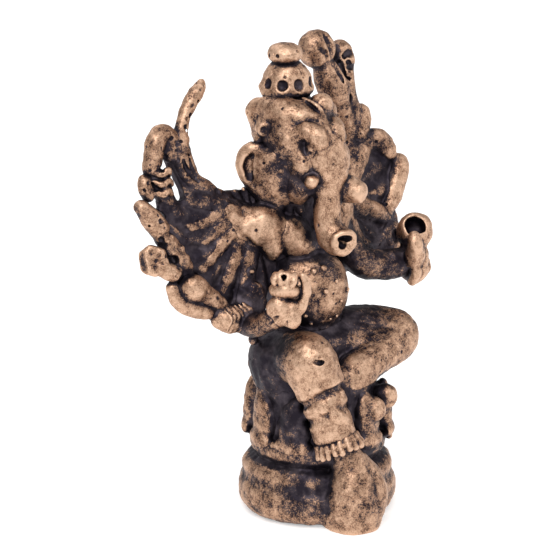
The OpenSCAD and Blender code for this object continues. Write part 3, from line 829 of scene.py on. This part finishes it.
def model_blessing_arm():
    wax.start("blessing_arm")
    wax.limb([at(1.62, 3.44, 4.52), at(-0.38, 2.74, 0.32), at(-1.38, 0.94, -2.98)],
             [0.8, 0.85, 1.15], 0.5)
    wax.limb([at(-1.38, 0.74, -3.08), at(-1.68, -1.26, -2.48), at(-1.18, -2.76, -1.58)],
             [1.15, 1.0, 1.05], 0.4)
    wax.add(egg(at(0.02, 1.44, -1.18), (1.4, 1.0, 2.2)), 0.6)
    wax.start("blessing_hand")
    side, up = vec(0.66, -0.75, 0), vec(0, 0, 1)
    palm = at(-0.88, 0.39, -1.49)
    hand = np.array([side, np.cross(up, side), up])
    out = -hand[1] if hand[1][1] > 0 else hand[1]
    wax.add(brick(palm, (1.6, 0.95, 1.45), 0.95, hand), 0.3)
    wax.add(egg(palm - 0.6 * side + vec(0, 0, 0.6) + 0.5 * out, (1.1, 0.8, 1.1), hand), 0.3)
    wax.add(egg(palm + 0.9 * side - vec(0, 0, 0.5) + 0.5 * out, (0.8, 0.7, 1.0), hand), 0.3)
    wax.limb([palm + vec(0, 0, 2.35) - 0.85 * side + 0.2 * out,
              palm + vec(0, 0, 2.5) + 0.2 * side + 0.4 * out,
              palm + vec(0, 0, 2.3) + 1.0 * side + 0.2 * out], [0.68, 0.8, 0.68], 0.2)
    for i in range(4):
        p = palm + vec(0, 0, 3.15) + (-0.85 + 0.62 * i) * side
        tall = 0.5 + (0.15 if i in (1, 2) else 0)
        wax.limb([p + 0.75 * out, p + 0.6 * out + vec(0, 0, tall), p - 0.2 * out + vec(0, 0, tall + 0.15),
                  p - 0.6 * out - vec(0, 0, 0.2)], [0.29, 0.34, 0.32, 0.28], 0.22)
    wax.carve(ball(palm + vec(0, 0, 3.7) + 0.55 * out, 0.42), 0.2)
    wax.limb([palm + 1.5 * side + vec(0, 0, 0.3), palm + 1.95 * side + vec(0, 0, 1.4)], [0.55, 0.5], 0.25)
    wax.limb([palm + 2.1 * side + vec(0, 0, 1.9), palm + 2.15 * side + vec(0, 0, 2.9),
              palm + 1.85 * side + vec(0, 0, 3.8)], [0.5, 0.46, 0.38], 0.15)
    slit = palm + 1.1 * out
    wax.groove([slit - 1.3 * side + vec(0, 0, -1.0), slit - 0.5 * side + vec(0, 0, -0.1)],
               [0.24, 0.18], 0.12)
    wax.groove([slit + 0.2 * side + vec(0, 0, -1.4), slit + 0.5 * side + vec(0, 0, -0.4)],
               [0.14, 0.08], 0.2)


def model_offering_arm():
    wax.start("offering_arm")
    wax.limb([at(-3.42, 1.97, 3.02), at(-1.82, 0.07, -0.68), at(0.78, -0.73, -1.68), at(2.98, -1.53, -1.58)],
             [1.3, 1.5, 1.45, 1.4], 0.5)
    wax.start("offering_hand")
    palm = at(-0.3, 0.3, -1.24)
    wax.add(egg(palm, (1.6, 1.5, 2.1)), 0.4)
    bowl = at(0, 0.6, 1.46)
    lean = facing([-0.55, -0.6, 0.6])
    wax.add(egg(bowl, (1.95, 1.9, 1.85)), 0.4)
    wax.carve(egg(bowl + 0.95 * lean[1], (1.15, 1.3, 1.25), lean), 0.35)
    wax.add(egg(at(-1.4, -0.9, -0.54), (1.15, 0.9, 1.4)), 0.4)
    wax.limb([at(-1.8, -1.3, -0.24), at(-2.0, -1.5, 0.96), at(-1.8, -1.2, 1.66)], [0.7, 0.65, 0.5], 0.25)
    for i in range(4):
        x = -1.3 + 0.8 * i
        y = -0.8 + 0.3 * i
        wax.limb([at(x - 0.1, y, -1.44), at(x + 0.1, y - 0.1, -2.54), at(x + 0.1, y + 0.4, -3.54)],
                 [0.5, 0.58, 0.42], 0.15)
    wax.add(egg(at(-0.1, 0.4, -2.84), (1.5, 1.2, 1.2)), 0.4)
    speckle([at(-1.1, -1.2, -1.54), at(1.1, -0.3, -0.24)], 0.8, 5, 0.22)


# ---- Casting marks ----

def cast_marks():
    wax.start("belly")
    centre = at(0, 0, -0.48)
    for azimuth, height in ((-118, 40), (-100, 42), (-84, 22), (-78, -6), (-124, -34), (-92, -30),
                            (-80, -28), (-132, -20), (-105, 12), (-60, 5)):
        a, h = math.radians(azimuth), math.radians(height)
        out = vec(math.cos(a) * math.cos(h), math.sin(a) * math.cos(h), math.sin(h))
        wax.add(ball(centre + 4.55 * out, 0.25), 0.06)
    wax.start("right_web")
    bumps([RIGHT(3.6, 3.3, 0.4), RIGHT(0.9, 3.3, 0.8), RIGHT(1.6, -5.0, 1.0), RIGHT(2.5, -7.3, 1.0)],
          0.27, 0.08)


def model_all():
    model_pedestal()
    model_petals()
    model_foot()
    model_body()
    model_shoulders()
    model_right_leg()
    model_left_leg()
    model_head()
    model_trunk()
    model_ear(-1, ("right_ear", "right_ear_flower"))
    model_ear(1, ("left_ear", "left_ear_flower"))
    model_crown()
    model_right_fan()
    model_right_items()
    model_left_fan()
    model_blessing_arm()
    model_offering_arm()
    cast_marks()


# ---- Unevenness of the wax ----

def lumps(cell, seed):
    """Smooth random values over the whole grid, -1 to 1, with lumps about cell mm across."""
    rng = np.random.default_rng(seed)
    counts = [int(n * STEP / cell) + 3 for n in wax.shape]
    coarse = rng.uniform(-1, 1, counts).astype(np.float32)
    for axis in range(3):
        cells = np.arange(wax.shape[axis]) * STEP / cell
        i = cells.astype(int)
        t = (cells - i).astype(np.float32)
        t = t * t * (3 - 2 * t)
        t = t.reshape([-1 if j == axis else 1 for j in range(3)])
        coarse = np.take(coarse, i, axis) * (1 - t) + np.take(coarse, i + 1, axis) * t
    return coarse


def roughen():
    """Uneven wax, then casting pits, mostly above the pedestal, then a trim to the design's box."""
    for depth, cell, seed in ((0.10, 2.6, 5), (0.085, 1.2, 3), (0.055, 0.5, 4)):
        wax.field += depth * lumps(cell, seed)
    near = np.argwhere(np.abs(wax.field[::2, ::2, ::2]) < 0.5 * STEP) * 2
    pits = 700
    pedestal_top = 14
    for p in near[RNG.choice(len(near), pits, replace=False)]:
        spot = wax.lo + STEP * p
        if spot[2] > pedestal_top and RNG.random() < 0.8:
            wax.carve(ball(spot, RNG.uniform(0.09, 0.17)), 0.05)
    for i in range(3):
        axis = wax.lo[i] + STEP * np.arange(wax.shape[i])
        out = np.maximum(cad_lo[i] / MM - axis, axis - cad_hi[i] / MM).astype(np.float32)
        wax.field = np.maximum(wax.field, out.reshape([-1 if j == i else 1 for j in range(3)]))


# ---- Skinning ----

def blur(a, reach):
    """The mean of a over a softened cube of about reach mm half-width."""
    r = max(1, round(reach / STEP / 1.4))
    for _ in range(2):
        for axis in range(3):
            pad = [(r + 1, r) if i == axis else (0, 0) for i in range(3)]
            total = np.cumsum(np.pad(a, pad), axis, dtype=np.float32)
            n = total.shape[axis]
            a = (np.take(total, range(2 * r + 1, n), axis) - np.take(total, range(0, n - 2 * r - 1), axis))
            a /= 2 * r + 1
    return a


def sample(a, p):
    """Values of grid a at the points p, given in grid units."""
    p = np.clip(p, 0, np.array(a.shape) - 1.001)
    i = p.astype(int)
    t = (p - i).astype(np.float32)
    out = 0
    for dx in (0, 1):
        for dy in (0, 1):
            for dz in (0, 1):
                weight = abs(1 - dx - t[:, 0]) * abs(1 - dy - t[:, 1]) * abs(1 - dz - t[:, 2])
                out = out + weight * a[i[:, 0] + dx, i[:, 1] + dy, i[:, 2] + dz]
    return out


CORNERS = [(0, 0, 0), (1, 0, 0), (0, 1, 0), (1, 1, 0), (0, 0, 1), (1, 0, 1), (0, 1, 1), (1, 1, 1)]


def net(g):
    """Vertices, in grid units, and quads of the surface where g is 0."""
    inside = g < 0
    n = np.array(g.shape) - 1
    count = sum(inside[x:x + n[0], y:y + n[1], z:z + n[2]].astype(np.int8) for x, y, z in CORNERS)
    cells = np.argwhere((count > 0) & (count < 8))
    number = np.full(tuple(n), -1, np.int64)
    number[tuple(cells.T)] = np.arange(len(cells))
    total = np.zeros((len(cells), 3))
    hits = np.zeros(len(cells))
    for a in CORNERS:
        for axis in range(3):
            if a[axis]:
                continue
            b = list(a)
            b[axis] = 1
            ga = g[tuple((cells + a).T)].astype(float)
            gb = g[tuple((cells + b).T)].astype(float)
            cross = (ga < 0) != (gb < 0)
            t = np.where(cross, ga / np.where(cross, ga - gb, 1), 0)
            step = np.zeros((len(cells), 3))
            step[:, axis] = t
            total += (np.array(a) + step) * cross[:, None]
            hits += cross
    verts = cells + total / hits[:, None]
    quads = []
    for axis in range(3):
        u, v = [i for i in range(3) if i != axis]
        low = [slice(1, -1)] * 3
        high = [slice(1, -1)] * 3
        low[axis] = slice(0, -1)
        high[axis] = slice(1, None)
        a, b = inside[tuple(low)], inside[tuple(high)]
        at = np.argwhere(a != b)
        first = a[tuple(at.T)]
        base = at.copy()
        base[:, u] += 1
        base[:, v] += 1
        ring_of = []
        for du, dv in ((-1, -1), (0, -1), (0, 0), (-1, 0)):
            c = base.copy()
            c[:, u] += du
            c[:, v] += dv
            ring_of.append(number[tuple(c.T)])
        q = np.stack(ring_of, 1)
        flip = first == (axis == 1)
        q[flip] = q[flip][:, ::-1]
        quads.append(q)
    return verts, np.vstack(quads)


def slope(g, p, e=0.5):
    """The gradient of grid g at the points p."""
    steps = np.eye(3) * e
    return np.stack([(sample(g, p + s) - sample(g, p - s)) / (2 * e) for s in steps], 1)


def skin(name):
    """A closed mesh of one member: vertices in millimetres and quads."""
    stamps = wax.parts[name]
    lo = np.min([[s.start for s in w] for w, _ in stamps], 0)
    hi = np.max([[s.stop for s in w] for w, _ in stamps], 0)
    where = tuple(slice(a, b) for a, b in zip(lo, hi))
    own = np.full(tuple(hi - lo), FAR, np.float32)
    for w, d in stamps:
        part = own[tuple(slice(s.start - a, s.stop - a) for s, a in zip(w, lo))]
        np.minimum(part, d, out=part)
    g = wax.field[where] + np.maximum(own - wax.nearest[where], 0)
    g[[0, -1]] = np.maximum(g[[0, -1]], 0.01)
    g[:, [0, -1]] = np.maximum(g[:, [0, -1]], 0.01)
    g[:, :, [0, -1]] = np.maximum(g[:, :, [0, -1]], 0.01)
    verts, quads = net(g)
    normal = slope(g, verts)
    size = np.maximum((normal ** 2).sum(1), 1e-9)
    move = -sample(g, verts)[:, None] * normal / size[:, None]
    verts = verts + np.clip(move, -0.4, 0.4)
    return wax.lo + STEP * (verts + lo), quads, normal / np.sqrt(size)[:, None]


# How much less or more than usual each member is rubbed bright
WEAR = {
    "right_web": -0.4, "left_web": -0.3, "chest": 0.12, "neck": -0.3, "hips": -0.3, "lotus_seat": -0.35,
    "offering_arm": -0.4, "blessing_arm": -0.36, "belly": -0.02, "right_shoulder": 0.1,
    "right_thigh": 0.08, "right_shin": 0.06, "blessing_hand": 0.1, "crown": 0.06, "crown_finial": 0.1,
    "trunk": 0.03, "pedestal_drum": -0.12, "pedestal_collar": -0.2, "lotus_petals": -0.1,
    "right_foot": -0.06, "left_thigh": -0.14, "left_shin": -0.04, "rosary": -0.2, "fruit": -0.3,
    "right_ear": -0.05, "sprig_arm": -0.4, "club_arm": -0.14, "bud_arm": -0.16, "discus_arm": -0.08,
    "noose_arm": -0.06, "conch_arm": -0.12, "mace_arm": -0.2, "axe_arm": -0.2, "goad_arm": -0.1,
    "lotus_arm": -0.12, "sprig": -0.16, "mace": -0.2, "axe": -0.2, "goad": -0.1, "left_tusk": 0.12,
    "club": -0.14, "bud": -0.1,
}
# Dark spots, partly patina left thick in valleys and partly painted shade on the shaded sides of forms:
# beside which member, where, reach in mm, and how much.
# Below zero the spot is rubbed brighter instead.
PATINA_AND_PAINTED_SHADE = [
    ("hips", (-7.0, -1.7, 0.15), 4.2, 0.36),
    ("lotus_seat", (-5.9, -2.7, 0.2), 3.4, 0.5),
    ("pedestal_drum", (-6.4, -5.2, 1.55), 3.6, 0.34),
    ("hips", (4.8, -1.6, 2.75), 4.0, 0.35),
    ("belly", (-3.6, -3.5, -1.08), 3.4, 0.25),
    ("belly", (0.5, -4.3, 2.72), 2.2, 0.25),
    ("head", (-3.4, -3.5, -4.55), 2.2, 0.25),
    ("right_thigh", (-2.69, -0.37, 0.41), 2.6, 0.4),
    ("head", (-3.6, -1.1, 0.25), 2.0, 0.14),
    ("head", (-2.4, -4.2, -4.45), 2.2, 0.3),
    ("head", (-4.0, -2.4, -2.45), 2.4, 0.2),
    ("right_ear", (-1.1, 1.0, 0.88), 1.4, -0.7),
    ("pedestal_collar", (7.5, -3.5, 1.2), 3.0, 0.1),
]


def wear_and_shade_of(name, points, normals, solids):
    """How far each point is rubbed bright: less in creases, in pockets and under overhangs, and less again
    near the dark spots, which are partly painted shade.
    """
    fine, middle, wide = solids
    cells = (points - wax.lo) / STEP
    crease = sample(fine, cells) - 0.5
    pocket = sample(middle, cells + normals * (0.7 / STEP)) - 0.13
    shelter = sample(wide, (points + normals * 2.2 - wax.lo) / STEP) - 0.1
    worn_and_shaded = 0.54 - 2.0 * crease - 1.6 * pocket - 1.2 * shelter + WEAR.get(name, 0.0)
    # The dark spots darken here: partly patina, partly painted shade.
    for member, offset, reach, amount in PATINA_AND_PAINTED_SHADE:
        gap = np.linalg.norm(points - place(member, *offset), axis=1)
        near = np.clip(1 - gap / reach, 0, 1)
        worn_and_shaded -= amount * near * (2 - near)
    return worn_and_shaded


def make_pieces(finish):
    solid = np.clip(0.5 - wax.field / STEP, 0, 1).astype(np.float32)
    solids = (blur(solid, 0.3), blur(solid, 0.9), blur(solid, 2.4))
    for name in sorted(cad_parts):
        points, quads, normals = skin(name)
        mesh = bpy.data.meshes.new("cast_" + name)
        mesh.from_pydata((points * MM).tolist(), [], quads.tolist())
        mesh.polygons.foreach_set("use_smooth", [True] * len(mesh.polygons))
        # This attribute carries rubbed wear and also painted shade from the dark spots.
        wear_and_shade = mesh.attributes.new("wear_and_shade", "FLOAT", "POINT")
        wear_and_shade.data.foreach_set("value", wear_and_shade_of(name, points, normals, solids).astype(np.float32))
        mesh.materials.append(finish)
        mesh.update()
        piece = bpy.data.objects.new("cast_" + name, mesh)
        bpy.context.collection.objects.link(piece)
        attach(piece, "root")
        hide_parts(name)


# ---- Finish: bright rubbed bronze over a near-black patina ----

class Nodes:
    def __init__(self, tree):
        self.tree = tree

    def add(self, kind, inputs=None, **settings):
        node = self.tree.nodes.new(kind)
        for key, value in settings.items():
            setattr(node, key, value)
        for key, value in (inputs or {}).items():
            if isinstance(value, bpy.types.NodeSocket):
                self.tree.links.new(value, node.inputs[key])
            else:
                node.inputs[key].default_value = value
        return node

    def math(self, operation, a, b):
        return self.add("ShaderNodeMath", {0: a, 1: b}, operation=operation).outputs[0]

    def mapped(self, value, lo, hi, to_lo=0.0, to_hi=1.0, smooth=True):
        kind = "SMOOTHSTEP" if smooth else "LINEAR"
        node = self.add("ShaderNodeMapRange", {0: value, 1: lo, 2: hi, 3: to_lo, 4: to_hi},
                        interpolation_type=kind)
        return node.outputs[0]

    def mix(self, factor, a, b):
        node = self.add("ShaderNodeMix", data_type="RGBA")
        for index, value in ((0, factor), (6, a), (7, b)):
            if isinstance(value, bpy.types.NodeSocket):
                self.tree.links.new(value, node.inputs[index])
            else:
                node.inputs[index].default_value = value
        return node.outputs[2]

    def noise(self, coords, per_mm, detail=2.0, rough=0.5):
        node = self.add("ShaderNodeTexNoise", {"Vector": coords, "Scale": per_mm / MM, "Detail": detail,
                                               "Roughness": rough})
        return node.outputs["Fac"]


def rubbed_bronze():
    material = bpy.data.materials.new("rubbed_bronze")
    material.use_nodes = True
    tree = material.node_tree
    n = Nodes(tree)
    shader = tree.nodes["Principled BSDF"]
    coords = n.add("ShaderNodeTexCoord").outputs["Object"]
    # Rubbed wear together with painted shade from the dark spots, read from the mesh.
    wear_and_shade = n.add("ShaderNodeAttribute", attribute_name="wear_and_shade").outputs["Fac"]
    dust = n.noise(coords, 7.0, 2.0, 0.7)
    grain = n.noise(coords, 3.0, 3.0, 0.6)
    blotch = n.noise(coords, 0.8, 3.0, 0.6)
    drift = n.noise(coords, 0.22, 2.0)
    level = wear_and_shade
    for pattern, lo, hi, amount in ((dust, 0.25, 0.75, 0.3), (grain, 0.25, 0.75, 0.18),
                                    (blotch, 0.2, 0.8, 0.26), (drift, 0.2, 0.8, 0.1)):
        level = n.math("ADD", level, n.mapped(pattern, lo, hi, -amount, amount, False))
    bright = n.mapped(level, 0.3, 0.68)
    shine = n.mapped(level, 0.55, 1.1)
    gold = n.mix(n.mapped(blotch, 0.3, 0.7), (0.33, 0.185, 0.115, 1), (0.45, 0.27, 0.175, 1))
    gold = n.mix(shine, gold, (0.72, 0.48, 0.335, 1))
    dark = n.mix(n.mapped(blotch, 0.35, 0.75), (0.026, 0.021, 0.029, 1), (0.09, 0.073, 0.085, 1))
    colour = n.mix(bright, dark, gold)
    tree.links.new(colour, shader.inputs["Base Color"])
    shader.inputs["Metallic"].default_value = 1.0
    rough = n.math("ADD", bright, n.mapped(grain, 0.3, 0.7, -0.3, 0.3, False))
    rough = n.mapped(rough, 0.0, 1.0, 0.54, 0.5)
    tree.links.new(rough, shader.inputs["Roughness"])
    height = n.math("ADD", n.math("MULTIPLY", dust, 0.5), n.math("MULTIPLY", bright, 0.25))
    height = n.math("ADD", height, n.math("MULTIPLY", grain, 0.6))
    bump = n.add("ShaderNodeBump", {"Height": height, "Strength": 0.6, "Distance": 0.06 * MM})
    tree.links.new(bump.outputs[0], shader.inputs["Normal"])
    return material


# ---- Studio ----

def studio():
    bpy.ops.mesh.primitive_plane_add(size=3.0, location=(0, 0, 0))
    floor = bpy.context.object
    floor.name = "studio_floor"
    pale = bpy.data.materials.new("studio_floor")
    pale.use_nodes = True
    shader = pale.node_tree.nodes["Principled BSDF"]
    shader.inputs["Base Color"].default_value = (0.8, 0.8, 0.8, 1)
    shader.inputs["Roughness"].default_value = 0.9
    shader.inputs["Emission Color"].default_value = (1, 1, 1, 1)
    shader.inputs["Emission Strength"].default_value = 0.45
    floor.data.materials.append(pale)

    world = bpy.data.worlds.new("studio")
    bpy.context.scene.world = world
    world.use_nodes = True
    back = world.node_tree.nodes["Background"]
    back.inputs["Color"].default_value = (1, 1, 1, 1)
    back.inputs["Strength"].default_value = 0.45

    for name, spot, size, watts in (
        ("key", (-0.30, -0.25, 0.55), 0.5, 3.2),
        ("fill", (0.45, -0.35, 0.35), 0.5, 1.0),
        ("rim", (0.1, 0.5, 0.5), 0.5, 1.0),
    ):
        light = bpy.data.lights.new(name, "AREA")
        light.size = size
        light.energy = watts
        lamp = bpy.data.objects.new(name, light)
        lamp.location = spot
        aim = Vector((0, 0, 0.025)) - Vector(spot)
        lamp.rotation_euler = aim.to_track_quat("-Z", "Y").to_euler()
        bpy.context.collection.objects.link(lamp)


def camera():
    azimuth, elevation, distance = math.radians(-42), math.radians(17), 0.35
    back = Vector((math.sin(azimuth) * math.cos(elevation), -math.cos(azimuth) * math.cos(elevation),
                   math.sin(elevation)))
    aim = (Vector(cad_lo) + Vector(cad_hi)) / 2 + Vector((1.689, 7.957, -2.01)) * MM
    data = bpy.data.cameras.new("camera")
    data.lens = 216
    data.clip_start, data.clip_end = 0.01, 10
    cam = bpy.data.objects.new("camera", data)
    cam.location = aim + back * distance
    cam.rotation_euler = (-back).to_track_quat("-Z", "Y").to_euler()
    bpy.context.collection.objects.link(cam)
    bpy.context.scene.camera = cam


model_all()
roughen()
make_pieces(rubbed_bronze())
studio()
camera()
bpy.context.scene.view_settings.view_transform = "Standard"
